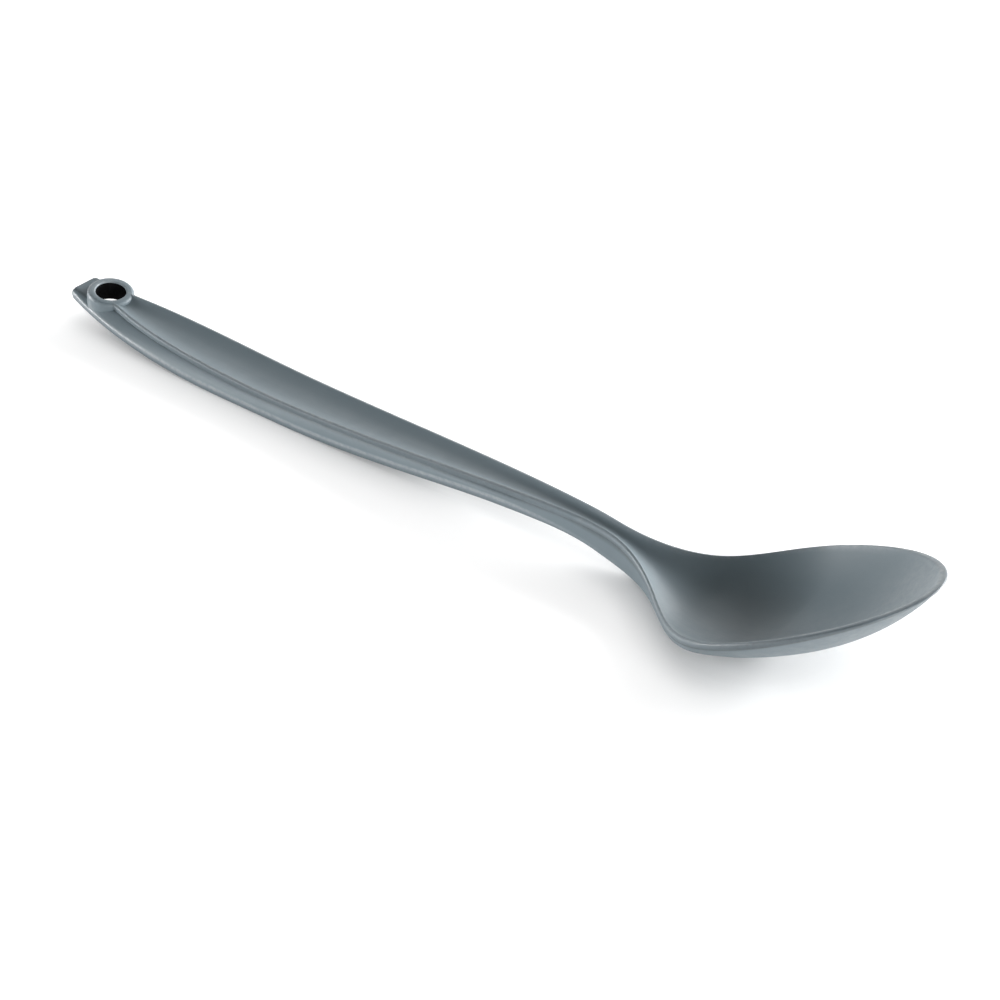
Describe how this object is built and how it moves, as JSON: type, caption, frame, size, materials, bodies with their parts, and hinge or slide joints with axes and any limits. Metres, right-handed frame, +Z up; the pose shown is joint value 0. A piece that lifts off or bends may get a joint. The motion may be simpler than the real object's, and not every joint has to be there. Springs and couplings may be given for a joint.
{
  "type": "camping spoon",
  "caption": "Long-handled camping spoon: upturned oval bowl, slim arched neck, dished grip that widens towards the end, and a lined hang hole in a raised collar.",
  "frame": {"origin": "on the table that the spoon rests on, below the middle of its length", "axes": "+X along the spoon to the tip of the bowl, +Y to the left of the spoon, +Z up"},
  "size_m": [0.215, 0.039, 0.0274],
  "materials": {
    "moulded_grey": "satin moulded surface",
    "sleeve_black": "matt black"
  },
  "bodies": {
    "root": {"spoon_body": "moulded_grey", "hang_bush": "sleeve_black"}
  },
  "joints": []
}
